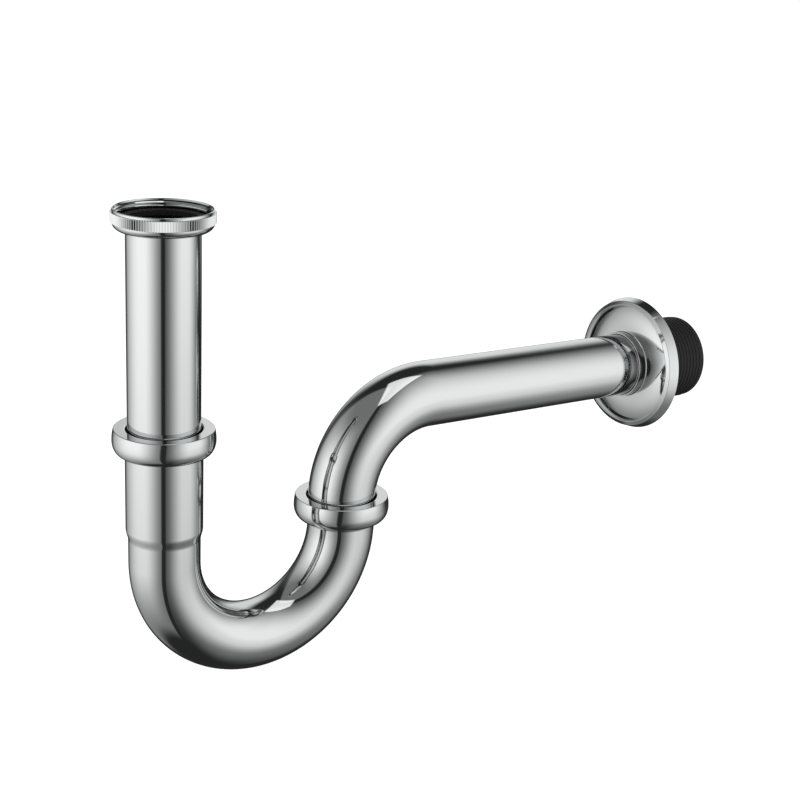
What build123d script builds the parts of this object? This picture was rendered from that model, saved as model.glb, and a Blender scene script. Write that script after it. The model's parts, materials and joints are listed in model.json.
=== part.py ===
"""Tubular P-trap for a wash basin: inlet tube, U-bend, outlet bend, wall flange and rubber wall seal.

The origin is on the inlet's axis, on the washer's upper face, where the basin waste seals.
+Z points up into the basin waste and +X points along the outlet to the wall.
"""
import os
from math import cos, pi, radians, sin

from build123d import *

os.makedirs("parts", exist_ok=True)

# Tube: drawn brass, one diameter throughout
tube_radius = 16.0
tube_wall = 0.8
bend_radius = 47.0
outlet_bend_radius = 45.0
socket_clearance = 0.25
taper_length = 5.5
neck_length = 3.0

# Where the pieces stand along the waterway
trap_drop = 92.5
leg_length = 63.0
taper_rise = 11.0
neck_rise = 0.5
riser_length = 14.0
bend_below_nut = 2.0
outlet_fall = 1.5
outlet_length = 165.0

# Inlet: union nut, washer and the flanged end of the tube
inlet_thread_stand = 3.476
inlet_mouth_flare = 0.924
inlet_mouth_depth = 0.9
inlet_relief_depth = 0.724
inlet_nut_rise = 4.0
inlet_lip_wall = 1.924
inlet_lip_height = 1.3
inlet_lip_rounding = 0.4
inlet_floor = 1.7
inlet_skirt_inset = 0.1
inlet_foot_land = 0.85
inlet_bore_clearance = 0.35
inlet_tube_length = 126.5
tube_flange_width = 2.6
tube_flange_thickness = 1.0
washer_thickness = 2.5
washer_bore_gap = 0.2
washer_edge_gap = 1.0
knurl_stand = 0.75
knurl_depth = 0.35
knurl_height = 4.4
knurl_teeth = 120

# Slip joint: nut, friction ring, cone seal and threaded collar, the same on both legs
nut_height = 11.2
nut_wall = 4.35
nut_shoulder = 0.55
nut_edge_rounding = 0.4
nut_bulge_drop = 5.3
nut_lip = 2.2
nut_bore_gap = 1.2
nut_foot_land = 0.4
thread_clearance = 0.25
collar_wall = 1.0
collar_height = 6.2
collar_cone_land = 0.45
ring_thickness = 1.2
ring_bore_gap = 0.7
ring_edge_gap = 0.35
seal_rim_height = 0.9
seal_cone_height = 1.8
seal_bore_gap = 0.1
seal_cone_gap = 0.25
seal_nose = 0.75
seat_gap = 0.1
solder_gap = 0.05

# Wall flange: one pressed sheet with a rolled rim and a collar round the tube
flange_seal_gap = 6.8
flange_sheet = 0.8
flange_bore_clearance = 0.3
flange_collar_stand = 4.5
flange_foot_radius = 1.3
flange_flat_width = 1.4
flange_dome_radius = 30.0
flange_dome_turn = 22.0
flange_valley_radius = 1.0
flange_rim_rise = 0.6
flange_rim_roll = 0.6
flange_band_flare = 17.0
flange_band_length = 5.5

# Wall seal: ribbed rubber sleeve pushed on the tube's end
wall_seal_overhang = 5.8
wall_seal_length = 31.8
wall_seal_thickness = 5.3
wall_seal_gap = 0.05
wall_seal_rounding = 1.6
rib_pitch = 2.3
rib_depth = 0.45
rib_count = 8
rib_from_end = 4.0

# Worked out from the sizes above
bore_radius = tube_radius - tube_wall
socket_bore = tube_radius + socket_clearance
socket_radius = socket_bore + tube_wall
thread_radius = socket_radius + collar_wall
upper_nut_top = -trap_drop
arc_height = upper_nut_top - leg_length
lower_nut_top = arc_height + riser_length
riser_x = 2 * bend_radius
outlet_bend_height = lower_nut_top - bend_below_nut
outlet_turn = 90 + outlet_fall
nut_bore = tube_radius + nut_bore_gap
nut_thread_bore = thread_radius + thread_clearance
nut_bulge_radius = nut_thread_bore + nut_wall
nut_top_radius = nut_bulge_radius - nut_shoulder
ring_drop = nut_lip + seat_gap
seal_drop = ring_drop + ring_thickness + seat_gap
collar_drop = seal_drop + seal_rim_height + seat_gap
rim_drop = seal_drop + seal_rim_height + seal_cone_height + seat_gap
inlet_thread_radius = tube_radius + inlet_thread_stand
inlet_relief_radius = inlet_thread_radius + inlet_relief_depth
inlet_lip_radius = inlet_thread_radius + inlet_lip_wall
inlet_skirt_radius = inlet_lip_radius - inlet_skirt_inset
inlet_bore = tube_radius + inlet_bore_clearance
inlet_skirt_foot_radius = inlet_bore + inlet_foot_land
knurl_radius = inlet_lip_radius + knurl_stand
inlet_floor_top = -washer_thickness - tube_flange_thickness - seat_gap
inlet_nut_foot = inlet_floor_top - inlet_floor
knurl_top = inlet_nut_rise - inlet_lip_height
knurl_bottom = knurl_top - knurl_height
wall_seal_radius = tube_radius + wall_seal_thickness
wall_seal_end = outlet_length + wall_seal_overhang
wall_seal_start = wall_seal_end - wall_seal_length
flange_face = wall_seal_start - flange_seal_gap - flange_sheet / 2

# The outlet's own plane: its x is up, its y runs along the outlet from the end of the bend
fall = radians(outlet_fall)
outlet_up = (sin(fall), 0, cos(fall))
outlet_start = (
    riser_x + outlet_bend_radius * (1 + sin(fall)),
    0,
    outlet_bend_height + outlet_bend_radius * cos(fall),
)
outlet_plane = Plane(origin=outlet_start, x_dir=outlet_up, z_dir=(0, 1, 0))
outlet_axis = Axis(outlet_plane.origin, outlet_plane.y_dir)


def leg_plane(x, height):
    """The upright plane through a leg, with its origin at the given height on the leg's axis."""
    return Plane(origin=(x, 0, height), x_dir=(1, 0, 0), z_dir=(0, -1, 0))


def leg_axis(x):
    """The axis of an upright leg."""
    return Axis((x, 0, 0), (0, 0, 1))


def finish(part, label):
    """Names a finished piece and writes it."""
    part.label = label
    export_step(part, f"parts/{label}.step")


# Inlet union nut: mouth and thread bore, a straight knurl, and a skirt that rounds in to the tube
with BuildPart() as inlet_nut:
    with BuildSketch(leg_plane(0, 0)):
        with BuildLine():
            foot = (inlet_bore, inlet_nut_foot)
            rounded_lip = inlet_nut_rise - inlet_lip_rounding
            inside = Polyline(
                foot,
                (foot[0], inlet_floor_top),
                (inlet_relief_radius, inlet_floor_top),
                (inlet_relief_radius, 0),
                (inlet_thread_radius, 0),
                (inlet_thread_radius, inlet_nut_rise - inlet_mouth_depth),
                (inlet_thread_radius + inlet_mouth_flare, inlet_nut_rise),
                (inlet_lip_radius - inlet_lip_rounding, inlet_nut_rise),
            )
            lip = TangentArc(inside @ 1, (inlet_lip_radius, rounded_lip), tangent=(1, 0))
            side = Polyline(
                lip @ 1,
                (inlet_lip_radius, knurl_top),
                (inlet_skirt_radius, knurl_top),
                (inlet_skirt_radius, knurl_bottom),
            )
            EllipticalCenterArc(
                (inlet_skirt_foot_radius, knurl_bottom),
                inlet_skirt_radius - inlet_skirt_foot_radius,
                knurl_bottom - inlet_nut_foot,
                start_angle=270,
                arc_size=90,
            )
            Line((inlet_skirt_foot_radius, inlet_nut_foot), foot)
        make_face()
    revolve(axis=Axis.Z)
    with BuildSketch(Plane.XY.offset(knurl_bottom)):
        with BuildLine():
            half_tooth = pi / knurl_teeth
            knurl = []
            for step in range(2 * knurl_teeth):
                radius = knurl_radius - knurl_depth * (step % 2)
                knurl.append((radius * cos(step * half_tooth), radius * sin(step * half_tooth)))
            Polyline(*knurl, close=True)
        make_face()
        Circle(inlet_relief_radius, mode=Mode.SUBTRACT)
    extrude(amount=knurl_height)
finish(inlet_nut.part, "inlet_nut")

# Inlet washer: flat rubber ring on the tube's flange
with BuildPart() as inlet_washer:
    with BuildSketch(Plane.XY.offset(-washer_thickness)):
        Circle(inlet_relief_radius - washer_edge_gap)
        Circle(bore_radius + washer_bore_gap, mode=Mode.SUBTRACT)
    extrude(amount=washer_thickness)
finish(inlet_washer.part, "inlet_washer")

# Inlet tube: straight tube with its upper end flanged out under the washer
with BuildPart() as inlet_tube:
    with BuildSketch(Plane.XY.offset(-washer_thickness)):
        Circle(tube_radius)
        Circle(bore_radius, mode=Mode.SUBTRACT)
    extrude(amount=-inlet_tube_length)
    with BuildSketch(Plane.XY.offset(-washer_thickness)):
        Circle(tube_radius + tube_flange_width)
        Circle(bore_radius, mode=Mode.SUBTRACT)
    extrude(amount=-tube_flange_thickness)
finish(inlet_tube.part, "inlet_tube")

# Trap bend: U of tube with an expanded socket on each leg
with BuildPart() as trap_bend:
    with BuildSketch(Plane.XY.offset(arc_height)):
        Circle(tube_radius)
        Circle(bore_radius, mode=Mode.SUBTRACT)
    revolve(axis=Axis((bend_radius, 0, arc_height), (0, -1, 0)), revolution_arc=180)
    for x, rim, taper_foot, length in (
        (0, upper_nut_top - rim_drop, taper_rise, taper_length),
        (riser_x, lower_nut_top - rim_drop, neck_rise, neck_length),
    ):
        with BuildSketch(leg_plane(x, arc_height)):
            with BuildLine():
                depth = rim - arc_height
                for near, far in ((bore_radius, socket_bore), (tube_radius, socket_radius)):
                    leg = Line((near, 0), (near, taper_foot))
                    middle = ((near + far) / 2, taper_foot + length / 2)
                    swell = TangentArc(leg @ 1, middle, tangent=leg % 1)
                    settle = TangentArc(swell @ 1, (far, taper_foot + length), tangent=swell % 1)
                    Line(settle @ 1, (far, depth))
                Line((bore_radius, 0), (tube_radius, 0))
                Line((socket_bore, depth), (socket_radius, depth))
            make_face()
        revolve(axis=leg_axis(x))
finish(trap_bend.part, "trap_bend")

# Slip joints: the same four pieces on the inlet leg and on the outlet leg
for place, x, top in (("upper", 0, upper_nut_top), ("lower", riser_x, lower_nut_top)):
    # Slip nut: flat top, swelling side and a foot rounded in below the thread
    with BuildPart() as slip_nut:
        with BuildSketch(leg_plane(x, top)):
            with BuildLine():
                foot_radius = nut_thread_bore + nut_foot_land
                below = EllipticalCenterArc(
                    (foot_radius, -nut_bulge_drop),
                    nut_bulge_radius - foot_radius,
                    nut_height - nut_bulge_drop,
                    start_angle=270,
                    arc_size=90,
                )
                above = TangentArc(
                    (nut_bulge_radius, -nut_bulge_drop),
                    (nut_top_radius, -nut_edge_rounding),
                    tangent=(0, 1),
                )
                edge = TangentArc(above @ 1, (nut_top_radius - nut_edge_rounding, 0), tangent=above % 1)
                Polyline(
                    edge @ 1,
                    (nut_bore, 0),
                    (nut_bore, -nut_lip),
                    (nut_thread_bore, -nut_lip),
                    (nut_thread_bore, -nut_height),
                    (foot_radius, -nut_height),
                )
            make_face()
        revolve(axis=leg_axis(x))
    finish(slip_nut.part, f"{place}_slip_nut")

    # Friction ring: flat ring that lets the nut turn without dragging the seal
    with BuildPart() as friction_ring:
        with BuildSketch(Plane.XY.offset(top - ring_drop)):
            with Locations((x, 0)):
                Circle(nut_thread_bore - ring_edge_gap)
                Circle(tube_radius + ring_bore_gap, mode=Mode.SUBTRACT)
        extrude(amount=-ring_thickness)
    finish(friction_ring.part, f"{place}_friction_ring")

    # Cone seal: rubber ring with a rim under the friction ring and a cone in the collar's mouth
    with BuildPart() as cone_seal:
        with BuildSketch(leg_plane(x, top - seal_drop)):
            with BuildLine():
                seal_bore = tube_radius + seal_bore_gap
                cone_top = thread_radius - collar_cone_land - seal_cone_gap
                Polyline(
                    (seal_bore, 0),
                    (nut_thread_bore - ring_edge_gap, 0),
                    (nut_thread_bore - ring_edge_gap, -seal_rim_height),
                    (cone_top, -seal_rim_height),
                    (seal_bore + seal_nose, -seal_rim_height - seal_cone_height),
                    (seal_bore, -seal_rim_height - seal_cone_height),
                    close=True,
                )
            make_face()
        revolve(axis=leg_axis(x))
    finish(cone_seal.part, f"{place}_cone_seal")

    # Threaded collar: soldered round the socket's mouth, with a conical seat for the seal
    with BuildPart() as thread_collar:
        with BuildSketch(leg_plane(x, top - collar_drop)):
            with BuildLine():
                collar_bore = socket_radius + solder_gap
                Polyline(
                    (collar_bore, -collar_height),
                    (collar_bore, collar_drop - rim_drop),
                    (thread_radius - collar_cone_land, 0),
                    (thread_radius, 0),
                    (thread_radius, -collar_height),
                    close=True,
                )
            make_face()
        revolve(axis=leg_axis(x))
    finish(thread_collar.part, f"{place}_thread_collar")

# Outlet tube: short spigot in the lower socket, a bend to the wall and a long straight run
with BuildPart() as outlet_tube:
    spigot_end = arc_height + neck_rise + neck_length + socket_clearance
    with BuildSketch(Plane.XY.offset(outlet_bend_height)):
        with Locations((riser_x, 0)):
            Circle(tube_radius)
            Circle(bore_radius, mode=Mode.SUBTRACT)
    extrude(amount=spigot_end - outlet_bend_height)
    with BuildSketch(Plane.XY.offset(outlet_bend_height)):
        with Locations((riser_x, 0)):
            Circle(tube_radius)
            Circle(bore_radius, mode=Mode.SUBTRACT)
    revolve(
        axis=Axis((riser_x + outlet_bend_radius, 0, outlet_bend_height), (0, 1, 0)),
        revolution_arc=outlet_turn,
    )
    with BuildSketch(Plane(origin=outlet_start, x_dir=outlet_up, z_dir=outlet_plane.y_dir)):
        Circle(tube_radius)
        Circle(bore_radius, mode=Mode.SUBTRACT)
    extrude(amount=outlet_length)
finish(outlet_tube.part, "outlet_tube")

# Wall flange: the pressed sheet's centre line, from its collar over the domed face to the rim and the wall
with BuildPart() as wall_flange:
    with BuildSketch(outlet_plane):
        with BuildLine():
            collar_radius = tube_radius + flange_bore_clearance + flange_sheet / 2
            collar = Line(
                (collar_radius, flange_face - flange_collar_stand),
                (collar_radius, flange_face - flange_foot_radius),
            )
            foot = JernArc(collar @ 1, (0, 1), flange_foot_radius, -90)
            flat = PolarLine(foot @ 1, flange_flat_width, direction=foot % 1)
            dome = JernArc(flat @ 1, flat % 1, flange_dome_radius, flange_dome_turn)
            valley = JernArc(dome @ 1, dome % 1, flange_valley_radius, -90 - flange_dome_turn)
            rise = PolarLine(valley @ 1, flange_rim_rise, direction=valley % 1)
            roll = JernArc(rise @ 1, rise % 1, flange_rim_roll, 180 - flange_band_flare)
            PolarLine(roll @ 1, flange_band_length, direction=roll % 1)
        trace(line_width=flange_sheet)
    revolve(axis=outlet_axis)
finish(wall_flange.part, "wall_flange")

# Wall seal: rubber sleeve with shallow ribs towards its end
with BuildPart() as wall_seal:
    with BuildSketch(outlet_plane):
        sleeve_bore = tube_radius + wall_seal_gap
        with BuildLine():
            Polyline(
                (sleeve_bore, wall_seal_start),
                (wall_seal_radius, wall_seal_start),
                (wall_seal_radius, wall_seal_end - wall_seal_rounding),
            )
            RadiusArc(
                (wall_seal_radius, wall_seal_end - wall_seal_rounding),
                (wall_seal_radius - wall_seal_rounding, wall_seal_end),
                -wall_seal_rounding,
            )
            Polyline(
                (wall_seal_radius - wall_seal_rounding, wall_seal_end),
                (sleeve_bore, wall_seal_end),
                (sleeve_bore, wall_seal_start),
            )
        make_face()
        first_rib = wall_seal_end - rib_from_end - (rib_count - 1) * rib_pitch
        for rib in range(rib_count):
            with Locations((wall_seal_radius, first_rib + rib * rib_pitch)):
                Circle(rib_depth, mode=Mode.SUBTRACT)
    revolve(axis=outlet_axis)
finish(wall_seal.part, "wall_seal")
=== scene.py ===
"""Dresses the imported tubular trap: turned and bent chrome pieces, rubber, and a plain studio round them."""

import json
from math import atan2, cos, degrees, pi, radians, sin, tau

import bmesh
import bpy
from bpy.props import FloatProperty, FloatVectorProperty, IntProperty, PointerProperty
from mathutils import Matrix, Vector


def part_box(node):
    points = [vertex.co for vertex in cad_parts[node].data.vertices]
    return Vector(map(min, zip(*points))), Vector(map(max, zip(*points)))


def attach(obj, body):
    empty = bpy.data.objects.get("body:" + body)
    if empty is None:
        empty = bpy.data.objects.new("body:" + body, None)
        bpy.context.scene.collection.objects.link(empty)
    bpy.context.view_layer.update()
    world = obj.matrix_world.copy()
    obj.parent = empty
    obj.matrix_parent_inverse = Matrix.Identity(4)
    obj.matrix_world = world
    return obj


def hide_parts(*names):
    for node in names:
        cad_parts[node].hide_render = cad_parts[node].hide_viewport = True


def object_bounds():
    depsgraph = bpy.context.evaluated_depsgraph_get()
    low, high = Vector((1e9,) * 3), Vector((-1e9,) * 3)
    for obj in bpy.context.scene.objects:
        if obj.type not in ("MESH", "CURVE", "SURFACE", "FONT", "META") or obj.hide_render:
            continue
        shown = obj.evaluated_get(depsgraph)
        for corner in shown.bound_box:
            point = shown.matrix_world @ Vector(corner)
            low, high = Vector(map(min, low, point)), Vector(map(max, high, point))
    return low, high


bl_info = {
    "name": "Tubular trap",
    "version": (1, 0, 0),
    "blender": (4, 2, 0),
    "location": "View3D > Sidebar > Trap",
    "description": "Builds the pieces, finishes and studio of a chrome basin trap over its CAD frame",
    "category": "Object",
}

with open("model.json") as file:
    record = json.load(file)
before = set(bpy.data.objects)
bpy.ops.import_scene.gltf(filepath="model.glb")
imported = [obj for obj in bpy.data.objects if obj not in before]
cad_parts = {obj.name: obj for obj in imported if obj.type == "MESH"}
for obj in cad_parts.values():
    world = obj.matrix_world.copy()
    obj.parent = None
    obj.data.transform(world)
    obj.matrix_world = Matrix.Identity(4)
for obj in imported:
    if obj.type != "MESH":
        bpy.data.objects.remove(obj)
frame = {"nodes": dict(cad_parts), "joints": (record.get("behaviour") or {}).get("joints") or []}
CAD_BOX = [list(corner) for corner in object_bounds()]
MM = 0.001


def joint(name):
    """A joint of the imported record."""
    return next(j for j in frame["joints"] if j["name"] == name)


# Places that the frame gives
UP = Vector((0, 0, 1))
OUT = Vector((1, 0, 0))
INLET = Vector((0, 0, 0))
TUBE_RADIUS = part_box("outlet_tube")[1].y
SOCKET_RADIUS = -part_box("trap_bend")[0].x
RISER = Vector((joint("outlet_swivel")["pos_m"][0], 0, 0))
BEND_RADIUS = RISER.x / 2
ARC_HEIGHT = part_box("trap_bend")[0].z + BEND_RADIUS + TUBE_RADIUS
UPPER_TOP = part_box("upper_slip_nut")[1].z
LOWER_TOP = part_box("lower_slip_nut")[1].z
RUN = Vector(joint("flange_slide")["axis"]).normalized()
RUN_UP = Vector((-RUN.z, 0, RUN.x))

# How far a thread's foot is sunk into its wall
THREAD_SUNK = 0.05 * MM

# The photograph's camera, from a pinhole fit to the tubes' outlines; the heading is from +Y towards +X
CAMERA_HEADING, CAMERA_PITCH, CAMERA_ROLL = 36.26, 18.19, 2.58
CAMERA_PLACE = Vector((-306.4, -589.5, 140.6)) * MM


class TrapTubes(bpy.types.PropertyGroup):
    """Sizes of the three chrome tubes."""

    wall: FloatProperty(name="Wall", description="Thickness of the brass tube", default=0.8 * MM, unit="LENGTH")
    outlet_bend: FloatProperty(
        name="Outlet bend", description="Centre-line radius of the outlet bend", default=45 * MM, unit="LENGTH")
    taper_rise: FloatProperty(
        name="Taper rise", description="Height of the inlet leg's taper above the U-bend",
        default=11 * MM, unit="LENGTH")
    taper: FloatProperty(
        name="Taper", description="Length of the inlet leg's taper up to its socket", default=5.5 * MM, unit="LENGTH")
    neck_rise: FloatProperty(
        name="Neck rise", description="Height of the outlet leg's neck above the U-bend",
        default=0.5 * MM, unit="LENGTH")
    neck: FloatProperty(
        name="Neck", description="Length of the outlet leg's flared neck", default=3 * MM, unit="LENGTH")
    facets: IntProperty(name="Facets", description="Facets round a tube", default=112, min=24)


class TrapNuts(bpy.types.PropertyGroup):
    """Sizes of the knurled inlet nut and the two slip nuts."""

    teeth: IntProperty(name="Teeth", description="Teeth round the inlet nut's knurl", default=120, min=12)
    tooth_depth: FloatProperty(
        name="Tooth depth", description="Depth of the knurl", default=0.4 * MM, unit="LENGTH")
    pitch: FloatProperty(
        name="Thread pitch", description="Rise of the inlet thread in one turn", default=1.3 * MM, unit="LENGTH")
    slip_pitch: FloatProperty(
        name="Slip thread pitch", description="Rise of the slip joints' thread in one turn",
        default=1.5 * MM, unit="LENGTH")
    bulge: FloatProperty(
        name="Bulge", description="Widest radius of a slip nut", default=22.65 * MM, unit="LENGTH")


class TrapWall(bpy.types.PropertyGroup):
    """Sizes of the wall flange and the rubber wall seal."""

    sheet: FloatProperty(name="Sheet", description="Thickness of the pressed flange", default=0.8 * MM, unit="LENGTH")
    ribs: IntProperty(name="Ribs", description="Grooves round the rubber seal", default=8, min=0)
    rib_pitch: FloatProperty(
        name="Rib pitch", description="Spacing of the seal's grooves", default=2.3 * MM, unit="LENGTH")
    rib_depth: FloatProperty(
        name="Rib depth", description="Depth of the seal's grooves", default=0.24 * MM, unit="LENGTH")


def hex_colour(text):
    """A linear colour from an sRGB hex value."""
    parts = [int(text[i:i + 2], 16) / 255 for i in (1, 3, 5)]
    return (*[p / 12.92 if p <= 0.04045 else ((p + 0.055) / 1.055) ** 2.4 for p in parts], 1.0)


class TrapFinishes(bpy.types.PropertyGroup):
    """Colours and roughness of the trap's materials."""

    chrome: FloatVectorProperty(
        name="Chrome", description="Reflected colour of the chrome plate", subtype="COLOR", size=4,
        default=hex_colour("#CACCCC"))
    chrome_roughness: FloatProperty(
        name="Chrome roughness", description="How soft the plate's reflections are", default=0.06, subtype="FACTOR")
    rubber: FloatVectorProperty(
        name="Rubber", description="Colour of the moulded rubber", subtype="COLOR", size=4,
        default=hex_colour("#101011"))
    nylon: FloatVectorProperty(
        name="Nylon", description="Colour of the friction rings", subtype="COLOR", size=4,
        default=hex_colour("#1B1B1C"))
    brass: FloatVectorProperty(
        name="Brass", description="Colour of the unplated collars", subtype="COLOR", size=4,
        default=hex_colour("#C8A45C"))


class TrapStudio(bpy.types.PropertyGroup):
    """The studio's light levels."""

    key: FloatProperty(name="Key lamp", description="Power of the large lamp overhead", default=5.0, unit="POWER")
    fill: FloatProperty(name="Fill", description="Soft light on the rubber and the floor", default=0.6)
    tent: FloatProperty(name="Tent", description="Radius of the light tent", default=850 * MM, unit="LENGTH")
    dark: FloatProperty(name="Dark", description="Light from the tent's unlit cloth", default=0.03)


def add_node(tree, kind, settings=None, links=None):
    """Adds a node, with its settings, and its sockets set to values or linked to (node, output) pairs."""
    new = tree.nodes.new(kind)
    for name, value in (settings or {}).items():
        setattr(new, name, value)
    for socket, value in (links or {}).items():
        if isinstance(value, tuple) and isinstance(value[0], bpy.types.Node):
            tree.links.new(value[0].outputs[value[1]], new.inputs[socket])
        else:
            new.inputs[socket].default_value = value
    return new


def new_material(name):
    """A material with an empty tree, its surface shader and the piece's own coordinates."""
    material = bpy.data.materials.get(name) or bpy.data.materials.new(name)
    material.use_nodes = True
    tree = material.node_tree
    tree.nodes.clear()
    shader = add_node(tree, "ShaderNodeBsdfPrincipled")
    add_node(tree, "ShaderNodeOutputMaterial", links={"Surface": (shader, "BSDF")})
    return material, tree, shader, add_node(tree, "ShaderNodeTexCoord")


def polished_chrome(finishes):
    """Bright chrome plate on buffed brass: a mirror, with the buffing wheel's faint waves left in it."""
    material, tree, shader, coords = new_material("polished_chrome_plate")
    shader.inputs["Base Color"].default_value = finishes.chrome
    shader.inputs["Metallic"].default_value = 1.0
    haze = add_node(tree, "ShaderNodeTexNoise", links={
        "Vector": (coords, "Object"), "Scale": 1 / (9 * MM), "Detail": 3.0})
    low, high = finishes.chrome_roughness * 0.8, finishes.chrome_roughness * 1.3
    sheen = add_node(tree, "ShaderNodeMapRange", links={
        "Value": (haze, "Fac"), "To Min": low, "To Max": high})
    waves = add_node(tree, "ShaderNodeTexNoise", links={
        "Vector": (coords, "Object"), "Scale": 1 / (14 * MM), "Detail": 0.0})
    buffed = add_node(tree, "ShaderNodeBump", links={
        "Height": (waves, "Fac"), "Strength": 0.12, "Distance": 0.12 * MM})
    tree.links.new(sheen.outputs["Result"], shader.inputs["Roughness"])
    tree.links.new(buffed.outputs["Normal"], shader.inputs["Normal"])
    return material


def moulded_black(name, colour, roughness, grain):
    """A black moulding: dull, with a fine grain from its mould and paler worn dust in patches."""
    material, tree, shader, coords = new_material(name)
    shader.inputs["Specular IOR Level"].default_value = 0.3
    patches = add_node(tree, "ShaderNodeTexNoise", links={
        "Vector": (coords, "Object"), "Scale": 1 / (6 * MM), "Detail": 5.0})
    dusty = tuple(min(1.0, c * 1.7 + 0.003) for c in colour[:3]) + (1.0,)
    shade = add_node(tree, "ShaderNodeMix", {"data_type": "RGBA"}, {"Factor": (patches, "Fac")})
    shade.inputs[6].default_value = colour
    shade.inputs[7].default_value = dusty
    tree.links.new(shade.outputs[2], shader.inputs["Base Color"])
    dull = add_node(tree, "ShaderNodeMapRange", links={
        "Value": (patches, "Fac"), "To Min": roughness - 0.08, "To Max": roughness + 0.08})
    tree.links.new(dull.outputs["Result"], shader.inputs["Roughness"])
    pits = add_node(tree, "ShaderNodeTexNoise", links={
        "Vector": (coords, "Object"), "Scale": 1 / grain, "Detail": 2.0})
    rough = add_node(tree, "ShaderNodeBump", links={
        "Height": (pits, "Fac"), "Strength": 0.35, "Distance": 0.15 * MM})
    tree.links.new(rough.outputs["Normal"], shader.inputs["Normal"])
    return material


def bare_brass(finishes):
    """Brass straight off the lathe: warm and bright, with turning lines 0.25 mm apart along its axis."""
    material, tree, shader, coords = new_material("turned_bare_brass")
    shader.inputs["Base Color"].default_value = finishes.brass
    shader.inputs["Metallic"].default_value = 1.0
    shader.inputs["Roughness"].default_value = 0.28
    lines = add_node(tree, "ShaderNodeTexWave", {"bands_direction": "Z"}, {
        "Vector": (coords, "Object"), "Scale": 1 / (0.25 * MM) / tau, "Distortion": 0.4})
    cut = add_node(tree, "ShaderNodeBump", links={
        "Height": (lines, "Fac"), "Strength": 0.3, "Distance": 0.05 * MM})
    tree.links.new(cut.outputs["Normal"], shader.inputs["Normal"])
    return material


def finishes_of(context):
    """The trap's four materials, by the record's slot."""
    values = context.scene.trap_finishes
    return {
        "polished_chrome": polished_chrome(values),
        "black_rubber": moulded_black("moulded_black_rubber", values.rubber[:], 0.6, 0.7 * MM),
        "black_nylon": moulded_black("moulded_black_nylon", values.nylon[:], 0.42, 0.4 * MM),
        "bare_brass": bare_brass(values),
    }


def finish_piece(context, bm, name, body, slot, *nodes, sharp=32):
    """Closes and shades a piece, sets it on its body and hides the CAD nodes that it stands for.

    Normals follow the larger faces, so that a long straight wall reflects straight up to its rounded rim.
    """
    bmesh.ops.remove_doubles(bm, verts=bm.verts[:], dist=0.002 * MM)
    bmesh.ops.recalc_face_normals(bm, faces=bm.faces[:])
    for face in bm.faces:
        face.smooth = True
    for edge in bm.edges:
        edge.smooth = len(edge.link_faces) == 2 and degrees(edge.calc_face_angle()) < sharp
    mesh = bpy.data.meshes.new(name)
    bm.to_mesh(mesh)
    bm.free()
    piece = bpy.data.objects.new(name, mesh)
    context.collection.objects.link(piece)
    mesh.materials.append(finishes_of(context)[slot])
    weighted = piece.modifiers.new("weighted_normals", "WEIGHTED_NORMAL")
    weighted.weight, weighted.keep_sharp = 100, True
    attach(piece, body)
    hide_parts(*nodes)


class Lathe:
    """Draws a section in a half plane with spun and extruded vertices, then turns it round its axis."""

    def __init__(self, origin, along=UP, out=OUT):
        self.bm = bmesh.new()
        self.origin, self.along, self.out = origin, along, out
        self.across = out.cross(along)
        self.first = self.tip = None
        self.heading = 0

    def at(self, radius, height):
        """The point of the half plane at a radius and a height."""
        return self.origin + self.out * radius + self.along * height

    def start(self, radius, height):
        """Puts the section's first vertex down."""
        self.first = self.tip = bmesh.ops.create_vert(self.bm, co=self.at(radius, height))["vert"][0]

    def line(self, *points):
        """Draws straight on through one or more points."""
        for point in points:
            new = bmesh.ops.extrude_vert_indiv(self.bm, verts=[self.tip])["verts"][0]
            bmesh.ops.translate(self.bm, verts=[new], vec=self.at(*point) - new.co)
            self.tip = new

    def arc(self, radius, height, angle, steps=8):
        """Draws an arc round a centre; a positive angle turns from outwards to upwards."""
        made = bmesh.ops.spin(
            self.bm, geom=[self.tip], cent=self.at(radius, height), axis=self.across, angle=radians(angle), steps=steps)
        self.tip = next(g for g in made["geom_last"] if isinstance(g, bmesh.types.BMVert))

    def oval(self, radius, height, wide, tall, angle, steps=12):
        """Draws a quarter of an ellipse round a centre, from a round arc that is then stretched along the axis."""
        before = set(self.bm.verts) - {self.tip}
        bmesh.ops.translate(self.bm, verts=[self.tip], vec=self.at(radius, height - wide) - self.tip.co)
        self.arc(radius, height, angle, steps)
        new = [v for v in self.bm.verts if v not in before]
        for vert in new:
            rise = (vert.co - self.at(radius, height)).dot(self.along)
            bmesh.ops.translate(self.bm, verts=[vert], vec=self.along * rise * (tall / wide - 1))

    def tip_at(self):
        """The radius and height of the section's last vertex."""
        tip = self.tip.co - self.origin
        return Vector((tip.dot(self.out), tip.dot(self.along)))

    def ahead(self, length):
        """Draws straight on along the heading, in degrees from outwards to upwards."""
        turn = radians(self.heading)
        self.line(self.tip_at() + Vector((cos(turn), sin(turn))) * length)

    def sweep(self, radius, angle, steps=8):
        """Draws on in an arc that leaves along the heading and turns it by an angle."""
        side = radians(self.heading + (90 if angle > 0 else -90))
        self.arc(*(self.tip_at() + Vector((cos(side), sin(side))) * radius), angle, steps)
        self.heading += angle

    def close(self):
        """Joins the section's last vertex to its first."""
        bmesh.ops.contextual_create(self.bm, geom=[self.tip, self.first])

    def turn(self, steps=128):
        """Turns the section into a solid ring and gives its mesh."""
        bmesh.ops.spin(
            self.bm, geom=self.bm.verts[:] + self.bm.edges[:], cent=self.origin, axis=self.along,
            angle=tau, steps=steps, use_merge=True)
        return self.bm


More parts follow.
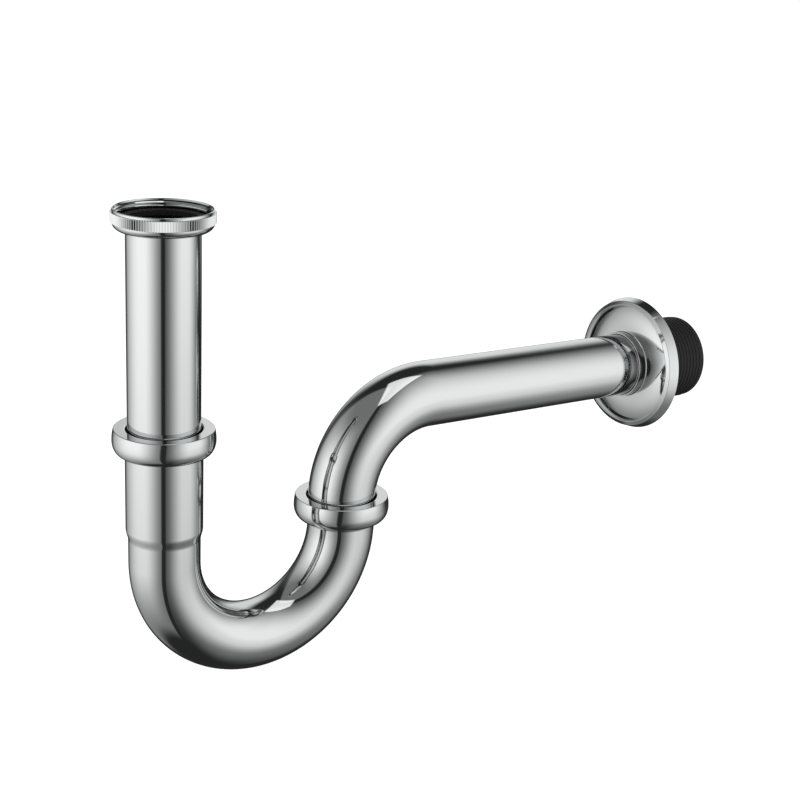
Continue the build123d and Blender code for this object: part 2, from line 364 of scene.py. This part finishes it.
def thread(bm, axis_point, radius, crest, start, turns, pitch, steps=96):
    """Adds a thread: a blunt tooth that is spun round the axis and climbs as it goes."""
    lathe = Lathe(axis_point)
    foot, tip = pitch * 0.46, pitch * 0.06
    tooth = [lathe.at(r, h) for r, h in (
        (radius, start - foot), (crest, start - tip), (crest, start + tip), (radius, start + foot))]
    lathe.bm.free()
    verts = [bmesh.ops.create_vert(bm, co=co)["vert"][0] for co in tooth]
    face = bmesh.ops.contextual_create(bm, geom=verts)["faces"][0]
    bmesh.ops.spin(
        bm, geom=[face], cent=axis_point, axis=UP, angle=tau * turns, steps=round(steps * turns),
        dvec=UP * pitch / steps)


class TubePen:
    """Draws a tube's outside by drawing on a ring of edges: straight, tapered or bent."""

    def __init__(self, bm, centre, radius, facets):
        self.bm, self.centre, self.radius = bm, centre.copy(), radius
        made = bmesh.ops.create_circle(bm, segments=facets, radius=radius, matrix=Matrix.Translation(centre))
        self.edges = list({e for v in made["verts"] for e in v.link_edges})

    def straight(self, step):
        """Draws the wall straight on."""
        made = bmesh.ops.extrude_edge_only(self.bm, edges=self.edges)["geom"]
        verts = [g for g in made if isinstance(g, bmesh.types.BMVert)]
        bmesh.ops.translate(self.bm, verts=verts, vec=step)
        self.edges = [g for g in made if isinstance(g, bmesh.types.BMEdge) and all(v in verts for v in g.verts)]
        self.centre += step
        return verts

    def taper(self, step, radius, steps=10):
        """Draws the wall on in an S-curve to another radius, along an upright leg."""
        first = self.radius
        for i in range(1, steps + 1):
            share = i / steps
            wanted = first + (radius - first) * share * share * (3 - 2 * share)
            verts = self.straight(step / steps)
            bmesh.ops.scale(
                self.bm, verts=verts, vec=(wanted / self.radius, wanted / self.radius, 1),
                space=Matrix.Translation(-self.centre))
            self.radius = wanted

    def bend(self, pivot, axis, angle, steps):
        """Draws the wall on round a bend."""
        verts = list({v for e in self.edges for v in e.verts})
        made = bmesh.ops.spin(
            self.bm, geom=verts + self.edges, cent=pivot, axis=axis, angle=angle, steps=steps)["geom_last"]
        self.edges = [g for g in made if isinstance(g, bmesh.types.BMEdge)]
        self.centre = pivot + Matrix.Rotation(angle, 3, axis) @ (self.centre - pivot)


def tube(bm, wall):
    """Gives a drawn tube its wall, inwards, and rounds the rims at both ends."""
    bmesh.ops.recalc_face_normals(bm, faces=bm.faces[:])
    bmesh.ops.solidify(bm, geom=bm.faces[:], thickness=wall)
    round_rims(bm)
    return bm


def round_rims(bm):
    """Rounds the sharp rims of thin metal."""
    rims = [edge for edge in bm.edges if degrees(edge.calc_face_angle(0)) > 60]
    bmesh.ops.bevel(
        bm, geom=rims, offset=0.2 * MM, offset_type="OFFSET", segments=2, profile=0.5, affect="EDGES", material=-1)


class TRAP_OT_inlet_tube(bpy.types.Operator):
    """Builds the straight inlet tube, its top flanged out under the washer"""

    bl_idname = "trap.inlet_tube"
    bl_label = "Inlet tube"

    def execute(self, context):
        sizes = context.scene.trap_tubes
        low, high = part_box("inlet_tube")
        flange, corner, chamfer = 1.0 * MM, 0.6 * MM, 0.2 * MM
        bore = TUBE_RADIUS - sizes.wall
        lathe = Lathe(INLET)
        lathe.start(bore, low.z)
        lathe.line((TUBE_RADIUS - chamfer, low.z), (TUBE_RADIUS, low.z + chamfer))
        lathe.line((TUBE_RADIUS, UPPER_TOP), (TUBE_RADIUS, high.z - flange - corner))
        lathe.arc(TUBE_RADIUS + corner, high.z - flange - corner, -90, 5)
        lathe.line((high.x, high.z - flange), (high.x, high.z), (bore, high.z))
        lathe.close()
        finish_piece(context, lathe.turn(sizes.facets), "inlet_tube_drawn", "inlet", "polished_chrome", "inlet_tube")
        return {"FINISHED"}


class TRAP_OT_trap_bend(bpy.types.Operator):
    """Builds the U-bend with its long inlet socket and its short flared neck"""

    bl_idname = "trap.trap_bend"
    bl_label = "Trap bend"

    def execute(self, context):
        sizes = context.scene.trap_tubes
        upper_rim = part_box("trap_bend")[1].z
        lower_rim = LOWER_TOP - (UPPER_TOP - upper_rim)
        pen = TubePen(bmesh.new(), UP * upper_rim, SOCKET_RADIUS, sizes.facets)
        pen.straight(UP * (ARC_HEIGHT + sizes.taper_rise + sizes.taper - upper_rim))
        pen.taper(-UP * sizes.taper, TUBE_RADIUS)
        pen.straight(-UP * sizes.taper_rise)
        pen.bend(Vector((BEND_RADIUS, 0, ARC_HEIGHT)), -Vector((0, 1, 0)), pi, 72)
        pen.straight(UP * sizes.neck_rise)
        pen.taper(UP * sizes.neck, SOCKET_RADIUS)
        pen.straight(UP * (lower_rim - pen.centre.z))
        bm = tube(pen.bm, sizes.wall)
        finish_piece(context, bm, "trap_bend_drawn", "trap", "polished_chrome", "trap_bend")
        return {"FINISHED"}


def outlet_pivot(sizes):
    """The centre of the outlet's bend."""
    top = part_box("outlet_tube")[1].z
    return Vector((RISER.x + sizes.outlet_bend, 0, top - TUBE_RADIUS - sizes.outlet_bend))


class TRAP_OT_outlet_tube(bpy.types.Operator):
    """Builds the outlet tube: a spigot, a bend and the long run to the wall"""

    bl_idname = "trap.outlet_tube"
    bl_label = "Outlet tube"

    def execute(self, context):
        sizes = context.scene.trap_tubes
        low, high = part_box("outlet_tube")
        pivot = outlet_pivot(sizes)
        end = (Vector((high.x, 0, 0)) - RUN_UP * TUBE_RADIUS).x
        pen = TubePen(bmesh.new(), Vector((RISER.x, 0, low.z)), TUBE_RADIUS, sizes.facets)
        pen.straight(UP * (pivot.z - low.z))
        pen.bend(pivot, Vector((0, 1, 0)), pi / 2 + atan2(-RUN.z, RUN.x), 40)
        pen.straight(RUN * ((end - pen.centre.x) / RUN.x))
        bm = tube(pen.bm, sizes.wall)
        finish_piece(context, bm, "outlet_tube_drawn", "outlet", "polished_chrome", "outlet_tube")
        return {"FINISHED"}


class TRAP_OT_inlet_union(bpy.types.Operator):
    """Builds the knurled inlet nut with its thread, and the rubber washer"""

    bl_idname = "trap.inlet_union"
    bl_label = "Inlet union"

    def execute(self, context):
        sizes = context.scene.trap_nuts
        low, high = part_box("inlet_nut")
        top, foot, crest = high.z, low.z, high.x
        lip, lip_foot, lip_corner, lip_round = 21.4 * MM, top - 1.3 * MM, 0.1 * MM, 0.4 * MM
        band_foot, chamfer = lip_foot - 4.4 * MM, 0.25 * MM
        skirt, skirt_foot = 21.5 * MM, 17.2 * MM
        bore, bore_chamfer = TUBE_RADIUS + 0.35 * MM, 0.2 * MM
        floor = foot + 1.7 * MM
        # The thread is finer and shallower than a real G 1 1/4, to show the photograph's fine lines in a wide mouth.
        root, core, thread_end = 20.55 * MM, 20.05 * MM, top - 0.75 * MM
        mouth, mouth_round = 20.85 * MM, 0.15 * MM
        lathe = Lathe(INLET)
        lathe.start(skirt_foot, foot)
        lathe.oval(skirt_foot, band_foot, skirt - skirt_foot, band_foot - foot, 90)
        lathe.line((crest - chamfer, band_foot), (crest, band_foot + chamfer))
        lathe.line((crest, lip_foot - chamfer), (crest - chamfer, lip_foot), (lip - lip_corner, lip_foot))
        lathe.line((lip, lip_foot + lip_corner), (lip, top - lip_round))
        lathe.arc(lip - lip_round, top - lip_round, 90, 6)
        lathe.line((mouth + mouth_round, top))
        lathe.arc(mouth + mouth_round, top - mouth_round, 90, 4)
        lathe.line((root, thread_end), (root, floor), (bore + bore_chamfer, floor), (bore, floor - bore_chamfer))
        lathe.line((bore, foot + bore_chamfer), (bore + bore_chamfer, foot))
        lathe.close()
        bm = lathe.turn(2 * sizes.teeth)
        grooves = []
        for vert in bm.verts:
            half_teeth = round(atan2(vert.co.y, vert.co.x) / tau * 2 * sizes.teeth)
            on_band = vert.co.xy.length > crest - chamfer / 5
            if on_band and half_teeth % 2:
                grooves.append(vert)
        share = 1 - sizes.tooth_depth / crest
        bmesh.ops.scale(bm, verts=grooves, vec=(share, share, 1))
        below_mouth, part_turn = 0.9 * MM, 0.4
        turns = (top - below_mouth) / sizes.pitch - part_turn
        thread(bm, INLET, root + THREAD_SUNK, core, 0.5 * sizes.pitch, turns, sizes.pitch)
        finish_piece(
            context, bm, "inlet_nut_knurled", "inlet_nut", "polished_chrome", "inlet_nut", sharp=24)

        low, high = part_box("inlet_washer")
        inner, edge = 15.4 * MM, 0.3 * MM
        lathe = Lathe(INLET)
        lathe.start(inner + edge, low.z)
        lathe.line((high.x - edge, low.z))
        lathe.arc(high.x - edge, low.z + edge, 90, 4)
        lathe.line((high.x, high.z - edge))
        lathe.arc(high.x - edge, high.z - edge, 90, 4)
        lathe.line((inner + edge, high.z))
        lathe.arc(inner + edge, high.z - edge, 90, 4)
        lathe.line((inner, low.z + edge))
        lathe.arc(inner + edge, low.z + edge, 90, 4)
        finish_piece(
            context, lathe.turn(), "inlet_washer_moulded", "inlet", "black_rubber", "inlet_washer")
        return {"FINISHED"}


class TRAP_OT_slip_joints(bpy.types.Operator):
    """Builds both slip joints: smooth nuts, threaded brass collars, nylon rings and rubber seals"""

    bl_idname = "trap.slip_joints"
    bl_label = "Slip joints"

    def execute(self, context):
        for place, axis in (("upper", INLET), ("lower", RISER)):
            self.nut(context, place, axis)
            self.collar(context, place, axis)
            self.inside(context, place, axis)
        return {"FINISHED"}

    def nut(self, context, place, axis):
        """The nut: a flat top, a swelling side and a foot rounded in below the thread."""
        sizes = context.scene.trap_nuts
        low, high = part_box(f"{place}_slip_nut")
        top, foot = high.z, low.z
        widest = top - 5.3 * MM
        thread_root, land = 18.6 * MM, 18.9 * MM
        shoulder, edge = 22.1 * MM, 0.45 * MM
        bore, lip, lead = TUBE_RADIUS + 0.75 * MM, 2.2 * MM, 0.8 * MM
        lathe = Lathe(axis)
        lathe.start(land, foot)
        lathe.oval(land, widest, sizes.bulge - land, widest - foot, 90, 16)
        rise, inset = top - edge - widest, sizes.bulge - shoulder
        sweep = (inset ** 2 + rise ** 2) / (2 * inset)
        lathe.arc(sizes.bulge - sweep, widest, degrees(atan2(rise, sweep - inset)), 8)
        lathe.arc(shoulder - edge, top - edge, 90, 6)
        lathe.line((bore + lead, top))
        lathe.arc(bore + lead, top - lead, 90, 6)
        crest, thread_start, plain_turns, foot_lead = 18.32 * MM, foot + 0.8 * MM, 1.4, 0.3 * MM
        lathe.line((bore, top - lip), (thread_root, top - lip), (thread_root, foot + foot_lead))
        lathe.close()
        bm = lathe.turn(144)
        turns = (top - lip - foot) / sizes.slip_pitch - plain_turns
        thread(bm, axis, thread_root + THREAD_SUNK, crest, thread_start, turns, sizes.slip_pitch)
        finish_piece(
            context, bm, f"{place}_slip_nut_turned", f"{place}_nut", "polished_chrome", f"{place}_slip_nut")

    def collar(self, context, place, axis):
        """The brass collar soldered round the socket's mouth, with the thread that carries the nut."""
        sizes = context.scene.trap_nuts
        low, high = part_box(f"{place}_thread_collar")
        crest, root = high.x - axis.x, 17.6 * MM
        bore = SOCKET_RADIUS + 0.05 * MM
        seat, chamfer, cone = 0.45 * MM, 0.1 * MM, 1.9 * MM
        thread_start, plain_turns = low.z + 0.85 * MM, 1.2
        lathe = Lathe(axis)
        lathe.start(bore, low.z)
        lathe.line((root, low.z), (root, high.z - chamfer), (crest - seat, high.z), (bore, high.z - cone))
        lathe.close()
        bm = lathe.turn(112)
        turns = (high.z - low.z) / sizes.slip_pitch - plain_turns
        thread(bm, axis, root - THREAD_SUNK, crest, thread_start, turns, sizes.slip_pitch)
        finish_piece(
            context, bm, f"{place}_collar_threaded", "trap", "bare_brass", f"{place}_thread_collar")

    def inside(self, context, place, axis):
        """The nylon ring and the rubber cone seal under the nut."""
        low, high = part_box(f"{place}_friction_ring")
        outer, inner, edge = high.x - axis.x, TUBE_RADIUS + 0.7 * MM, 0.15 * MM
        lathe = Lathe(axis)
        lathe.start(inner, low.z + edge)
        lathe.line((inner + edge, low.z), (outer - edge, low.z), (outer, low.z + edge), (outer, high.z - edge))
        lathe.line((outer - edge, high.z), (inner + edge, high.z), (inner, high.z - edge))
        lathe.close()
        finish_piece(
            context, lathe.turn(112), f"{place}_ring_moulded", f"{place}_ring", "black_nylon",
            f"{place}_friction_ring")
        low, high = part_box(f"{place}_cone_seal")
        inner = TUBE_RADIUS + 0.1 * MM
        rim, nose, cone_top = high.z - 0.9 * MM, inner + 0.7 * MM, 17.3 * MM
        lathe = Lathe(axis)
        lathe.start(inner, low.z + edge)
        lathe.line((inner + edge, low.z), (nose, low.z), (cone_top, rim), (outer - edge, rim))
        lathe.line((outer, rim + edge), (outer, high.z - edge), (outer - edge, high.z), (inner + edge, high.z))
        lathe.line((inner, high.z - edge))
        lathe.close()
        finish_piece(
            context, lathe.turn(112), f"{place}_cone_moulded", f"{place}_seal", "black_rubber", f"{place}_cone_seal")


def run_reach(node):
    """How far along the outlet's run a CAD node starts and ends, and its largest radius, from the riser's axis."""
    points = [v.co for v in frame["nodes"][node].data.vertices]
    origin = run_origin()
    steps = [(p - origin).dot(RUN) for p in points]
    spread = max((p - origin - RUN * s).length for p, s in zip(points, steps))
    return min(steps), max(steps), spread


def run_origin():
    """The point of the outlet's straight axis that stands nearest the riser's axis."""
    sizes = bpy.context.scene.trap_tubes
    return outlet_pivot(sizes) + RUN_UP * sizes.outlet_bend


class TRAP_OT_wall_end(bpy.types.Operator):
    """Builds the pressed wall flange and the ribbed rubber seal behind it"""

    bl_idname = "trap.wall_end"
    bl_label = "Wall end"

    def execute(self, context):
        self.flange(context)
        self.seal(context)
        return {"FINISHED"}

    def flange(self, context):
        """One pressed sheet: a collar round the tube, a domed face, a groove, and a rim turned back to the wall."""
        sizes = context.scene.trap_wall
        sheet = sizes.sheet
        front, back, _ = run_reach("wall_flange")
        collar, foot, flat, dome, corner = 4.05 * MM, 0.45 * MM, 1.95 * MM, 30.4 * MM, 0.15 * MM
        gap, drop, valley, ledge, roll, band = 0.15 * MM, 1.9 * MM, 0.3 * MM, 2.0 * MM, 0.35 * MM, 5.0 * MM
        hollow, rim_inside = 0.6 * MM, 1.7 * MM
        lathe = Lathe(run_origin(), RUN, RUN_UP)
        lathe.start(TUBE_RADIUS + gap + sheet, front)
        lathe.heading = 90
        lathe.ahead(collar)
        lathe.sweep(foot, -90, 6)
        lathe.ahead(flat)
        lathe.sweep(dome, 22, 14)
        lathe.sweep(corner, -112, 6)
        groove = lathe.tip_at() - Vector((corner, 0))
        lathe.ahead(drop)
        lathe.sweep(valley, 115, 8)
        lathe.ahead(ledge)
        lathe.sweep(roll, 47, 6)
        lathe.ahead(band)
        rim, behind = lathe.tip_at().x, groove.y - hollow
        lathe.line((rim - sheet, back), (rim - rim_inside, behind), (groove.x + corner + sheet, behind))
        lathe.line(groove + Vector((corner + sheet, 0)))
        lathe.arc(*groove, 112, 8)
        lathe.heading = 202
        lathe.sweep(dome - sheet, -22, 14)
        lathe.ahead(flat)
        lathe.sweep(foot + sheet, 90, 6)
        lathe.ahead(collar)
        lathe.close()
        bm = lathe.turn(192)
        round_rims(bm)
        finish_piece(context, bm, "wall_flange_pressed", "flange", "polished_chrome", "wall_flange")

    def seal(self, context):
        """The moulded sleeve with shallow grooves towards its end."""
        sizes = context.scene.trap_wall
        start, end, radius = run_reach("wall_seal")
        bore = TUBE_RADIUS + 0.05 * MM
        corner, chamfer, last_groove = 1.6 * MM, 0.4 * MM, end - 4.0 * MM
        lathe = Lathe(run_origin(), RUN, RUN_UP)
        lathe.start(bore, start)
        lathe.line((radius - chamfer, start), (radius, start + chamfer))
        groove = last_groove - (sizes.ribs - 1) * sizes.rib_pitch
        for _ in range(sizes.ribs):
            lathe.line((radius, groove - sizes.rib_depth))
            lathe.arc(radius, groove, 180, 6)
            groove += sizes.rib_pitch
        lathe.line((radius, end - corner))
        lathe.arc(radius - corner, end - corner, 90, 8)
        lathe.line((bore + chamfer, end), (bore, end - chamfer))
        lathe.close()
        finish_piece(context, lathe.turn(128), "wall_seal_moulded", "outlet", "black_rubber", "wall_seal")


# The light tent as the chrome sees it. Across and behind are bearings in degrees from the camera, + to its right;
# height is in degrees above level; spread and near are the plan overhead, in heights of the tent, sideways and
# towards the camera. Each light fades in from its first value to its second and out from its third to its fourth.
# The lights at the sides lean by a share of their height, and the panel overhead narrows towards the camera.
TENT_CENTRE = Vector((130, 0, -90)) * MM
SIDE_LEAN, PANEL_MIDDLE, PANEL_NARROWING = -0.1, 0.112, 0.2
TENT = {
    "cloth on the left": ({"across": (-130, -118, -7.5, -4.5), "height": (-66, -54, 80, 95)}, 0.22),
    "softbox on the left": ({"across": (-146, -65, -52, -1), "height": (-63, -4, 2, 50)}, 1.22),
    "cloth on the right": ({"across": (4.5, 7.5, 120, 143), "height": (-73, -20, 60, 90)}, 0.09),
    "softbox on the right": ({"across": (2, 61, 80, 138), "height": (-55, -5, 6, 98)}, 1.2),
    "table on the right": ({"across": (12, 60, 116, 161), "height": (-90, -50, -31, -15)}, 0.2),
    "overhead panel": ({
        "spread": (-2, -1, 0.235, 0.265), "near": (-0.27, -0.21, 0.57, 0.63), "height": (20, 30, 91, 92)}, 1.15),
}
OPENING = {"behind": (135, 170, 181, 182), "height": (-16, 8, 24, 46)}


class TRAP_OT_studio(bpy.types.Operator):
    """Builds the camera, the pale floor, the lamp and the studio that the chrome reflects"""

    bl_idname = "trap.studio"
    bl_label = "Studio"

    def execute(self, context):
        self.camera(context)
        self.floor(context)
        self.lamp(context)
        self.tent(context)
        self.world(context)
        context.scene.view_settings.view_transform = "Standard"
        return {"FINISHED"}

    def camera(self, context):
        """The camera at the photograph's place."""
        data = bpy.data.cameras.new("camera")
        data.lens, data.sensor_width = 72.3, 36.0
        camera = bpy.data.objects.new("camera", data)
        context.collection.objects.link(camera)
        heading, pitch, roll = radians(CAMERA_HEADING), radians(CAMERA_PITCH), radians(CAMERA_ROLL)
        right = Vector((cos(heading), -sin(heading), 0))
        ahead = Vector((sin(heading) * cos(pitch), cos(heading) * cos(pitch), -sin(pitch)))
        above = right.cross(ahead)
        turned = right * cos(roll) + above * sin(roll)
        axes = Matrix((turned, ahead.cross(turned) * -1, -ahead)).transposed()
        camera.matrix_world = Matrix.Translation(CAMERA_PLACE) @ axes.to_4x4()
        context.scene.camera = camera

    def floor(self, context):
        """A pale floor, low enough for the trap to be let down 15 mm on its inlet tube.

        Its own glow keeps it white, and its matt part keeps the shadow.
        """
        room = 15.5 * MM
        bm = bmesh.new()
        height = CAD_BOX[0][2] - room
        bmesh.ops.create_grid(bm, x_segments=1, y_segments=1, size=4.0, matrix=Matrix.Translation((0, 0, height)))
        mesh = bpy.data.meshes.new("floor")
        bm.to_mesh(mesh)
        bm.free()
        floor = bpy.data.objects.new("floor", mesh)
        context.collection.objects.link(floor)
        material = bpy.data.materials.new("pale_studio_floor")
        material.use_nodes = True
        tree = material.node_tree
        tree.nodes.clear()
        glow = add_node(tree, "ShaderNodeEmission", links={"Color": hex_colour("#FFFFFF"), "Strength": 0.8})
        matt = add_node(tree, "ShaderNodeBsdfDiffuse", links={"Color": hex_colour("#BDBDBD")})
        both = add_node(tree, "ShaderNodeAddShader")
        tree.links.new(glow.outputs[0], both.inputs[0])
        tree.links.new(matt.outputs[0], both.inputs[1])
        rays = add_node(tree, "ShaderNodeLightPath")
        seen = add_node(tree, "ShaderNodeMixShader", links={0: (rays, "Is Camera Ray")})
        tree.links.new(matt.outputs[0], seen.inputs[1])
        tree.links.new(both.outputs[0], seen.inputs[2])
        add_node(tree, "ShaderNodeOutputMaterial", links={"Surface": (seen, 0)})
        mesh.materials.append(material)
        floor.visible_glossy = False

    def lamp(self, context):
        """One large soft lamp overhead, for the floor's shadow and the rubber."""
        data = bpy.data.lights.new("key", "AREA")
        data.shape, data.size, data.energy = "DISK", 0.9, context.scene.trap_studio.key
        lamp = bpy.data.objects.new("key", data)
        context.collection.objects.link(lamp)
        place = Vector((-0.25, -0.45, 0.9))
        aim = Vector((0.1, 0, -0.1)) - place
        lamp.matrix_world = Matrix.Translation(place) @ aim.to_track_quat("-Z", "Y").to_matrix().to_4x4()
        lamp.visible_glossy = False

    def tent(self, context):
        """A round light tent that only reflections see. It is open behind, where they show the white background."""
        values = context.scene.trap_studio
        bm = bmesh.new()
        bmesh.ops.create_uvsphere(
            bm, u_segments=64, v_segments=32, radius=values.tent, matrix=Matrix.Translation(TENT_CENTRE))
        mesh = bpy.data.meshes.new("light_tent")
        bm.to_mesh(mesh)
        bm.free()
        tent = bpy.data.objects.new("light_tent", mesh)
        context.collection.objects.link(tent)
        material = bpy.data.materials.new("lit_tent_cloth")
        material.use_nodes = True
        tree = material.node_tree
        tree.nodes.clear()
        coords = add_node(tree, "ShaderNodeTexCoord")
        place = add_node(tree, "ShaderNodeVectorMath", {"operation": "SUBTRACT"}, {
            0: (coords, "Object"), 1: TENT_CENTRE[:]})
        facing = add_node(tree, "ShaderNodeVectorRotate", {"rotation_type": "Z_AXIS"}, {
            "Vector": (place, 0), "Angle": radians(90 + CAMERA_HEADING)})
        facing = add_node(tree, "ShaderNodeVectorMath", {"operation": "NORMALIZE"}, {0: (facing, 0)})
        parts = add_node(tree, "ShaderNodeSeparateXYZ", links={0: (facing, 0)})
        turn = add_node(tree, "ShaderNodeMath", {"operation": "ARCTAN2"}, {0: (parts, "Y"), 1: (parts, "X")})
        bearing = add_node(tree, "ShaderNodeMath", {"operation": "DEGREES"}, {0: (turn, 0)})
        lift = add_node(tree, "ShaderNodeMath", {"operation": "ARCSINE"}, {0: (parts, "Z")})
        height = add_node(tree, "ShaderNodeMath", {"operation": "DEGREES"}, {0: (lift, 0)})
        near = add_node(tree, "ShaderNodeMath", {"operation": "DIVIDE"}, {0: (parts, "X"), 1: (parts, "Z")})
        aside = add_node(tree, "ShaderNodeMath", {"operation": "DIVIDE"}, {0: (parts, "Y"), 1: (parts, "Z")})
        aside = add_node(tree, "ShaderNodeMath", {"operation": "SUBTRACT"}, {0: (aside, 0), 1: PANEL_MIDDLE})
        aside = add_node(tree, "ShaderNodeMath", {"operation": "ABSOLUTE"}, {0: (aside, 0)})
        sources = {
            "across": add_node(tree, "ShaderNodeMath", {"operation": "MULTIPLY_ADD"}, {
                0: (height, 0), 1: SIDE_LEAN, 2: (bearing, 0)}),
            "behind": add_node(tree, "ShaderNodeMath", {"operation": "ABSOLUTE"}, {0: (bearing, 0)}),
            "height": height,
            "near": near,
            "spread": add_node(tree, "ShaderNodeMath", {"operation": "MULTIPLY_ADD"}, {
                0: (near, 0), 1: PANEL_NARROWING, 2: (aside, 0)}),
        }
        total = None
        for fades, level in (*TENT.values(), (OPENING, None)):
            share = None
            for source, fade in fades.items():
                for ends, low, high in ((fade[:2], 0.0, 1.0), (fade[2:], 1.0, 0.0)):
                    step = add_node(tree, "ShaderNodeMapRange", {"interpolation_type": "SMOOTHSTEP"}, {
                        "Value": (sources[source], 0), "From Min": ends[0], "From Max": ends[1],
                        "To Min": low, "To Max": high})
                    share = add_node(tree, "ShaderNodeMath", {"operation": "MULTIPLY"}, {
                        0: (step, 0), 1: (share, 0) if share else 1.0})
            if level:
                total = add_node(tree, "ShaderNodeMath", {"operation": "MULTIPLY_ADD"}, {
                    0: (share, 0), 1: level, 2: (total, 0) if total else values.dark})
        cloth = add_node(tree, "ShaderNodeEmission", links={
            "Color": hex_colour("#FFFFFF"), "Strength": (total, 0)})
        gap = add_node(tree, "ShaderNodeBsdfTransparent")
        both = add_node(tree, "ShaderNodeMixShader", links={0: (share, 0), 1: (cloth, 0), 2: (gap, 0)})
        add_node(tree, "ShaderNodeOutputMaterial", links={"Surface": (both, 0)})
        material.cycles.emission_sampling = "NONE"
        mesh.materials.append(material)
        tent.visible_camera = tent.visible_diffuse = tent.visible_shadow = tent.visible_transmission = False

    def world(self, context):
        """White to the camera and to reflections, and a soft fill for the rubber and the floor."""
        world = bpy.data.worlds.new("studio")
        context.scene.world = world
        world.use_nodes = True
        tree = world.node_tree
        tree.nodes.clear()
        soft = add_node(tree, "ShaderNodeBackground", links={
            "Color": hex_colour("#FFFFFF"), "Strength": context.scene.trap_studio.fill})
        white = add_node(tree, "ShaderNodeBackground", links={"Color": hex_colour("#FFFFFF"), "Strength": 1.0})
        rays = add_node(tree, "ShaderNodeLightPath")
        shown = add_node(tree, "ShaderNodeMath", {"operation": "MAXIMUM"}, {
            0: (rays, "Is Camera Ray"), 1: (rays, "Is Glossy Ray")})
        shown = add_node(tree, "ShaderNodeMath", {"operation": "MAXIMUM"}, {
            0: (shown, 0), 1: (rays, "Is Transmission Ray")})
        seen = add_node(tree, "ShaderNodeMixShader", links={0: (shown, 0), 1: (soft, 0), 2: (white, 0)})
        add_node(tree, "ShaderNodeOutputWorld", links={"Surface": (seen, 0)})


class TRAP_PT_panel(bpy.types.Panel):
    """Lists the trap's pieces and sizes"""

    bl_idname = "TRAP_PT_panel"
    bl_label = "Tubular trap"
    bl_space_type = "VIEW_3D"
    bl_region_type = "UI"
    bl_category = "Trap"

    def draw(self, context):
        for operator in OPERATORS:
            self.layout.operator(operator.bl_idname)
        for name in GROUPS:
            values = getattr(context.scene, name)
            box = self.layout.box()
            for prop in values.bl_rna.properties:
                if prop.identifier not in {"rna_type", "name"}:
                    box.prop(values, prop.identifier)


GROUPS = {
    "trap_tubes": TrapTubes,
    "trap_nuts": TrapNuts,
    "trap_wall": TrapWall,
    "trap_finishes": TrapFinishes,
    "trap_studio": TrapStudio,
}
OPERATORS = (
    TRAP_OT_inlet_tube,
    TRAP_OT_trap_bend,
    TRAP_OT_outlet_tube,
    TRAP_OT_inlet_union,
    TRAP_OT_slip_joints,
    TRAP_OT_wall_end,
    TRAP_OT_studio,
)


def register():
    for group in (*GROUPS.values(), *OPERATORS, TRAP_PT_panel):
        bpy.utils.register_class(group)
    for name, group in GROUPS.items():
        setattr(bpy.types.Scene, name, PointerProperty(type=group))


def unregister():
    for name in GROUPS:
        delattr(bpy.types.Scene, name)
    for group in reversed((*GROUPS.values(), *OPERATORS, TRAP_PT_panel)):
        bpy.utils.unregister_class(group)


def main():
    """Registers the add-on and builds the pieces and the studio."""
    register()
    bpy.ops.trap.inlet_tube()
    bpy.ops.trap.trap_bend()
    bpy.ops.trap.outlet_tube()
    bpy.ops.trap.inlet_union()
    bpy.ops.trap.slip_joints()
    bpy.ops.trap.wall_end()
    bpy.ops.trap.studio()


if __name__ == "__main__":
    main()
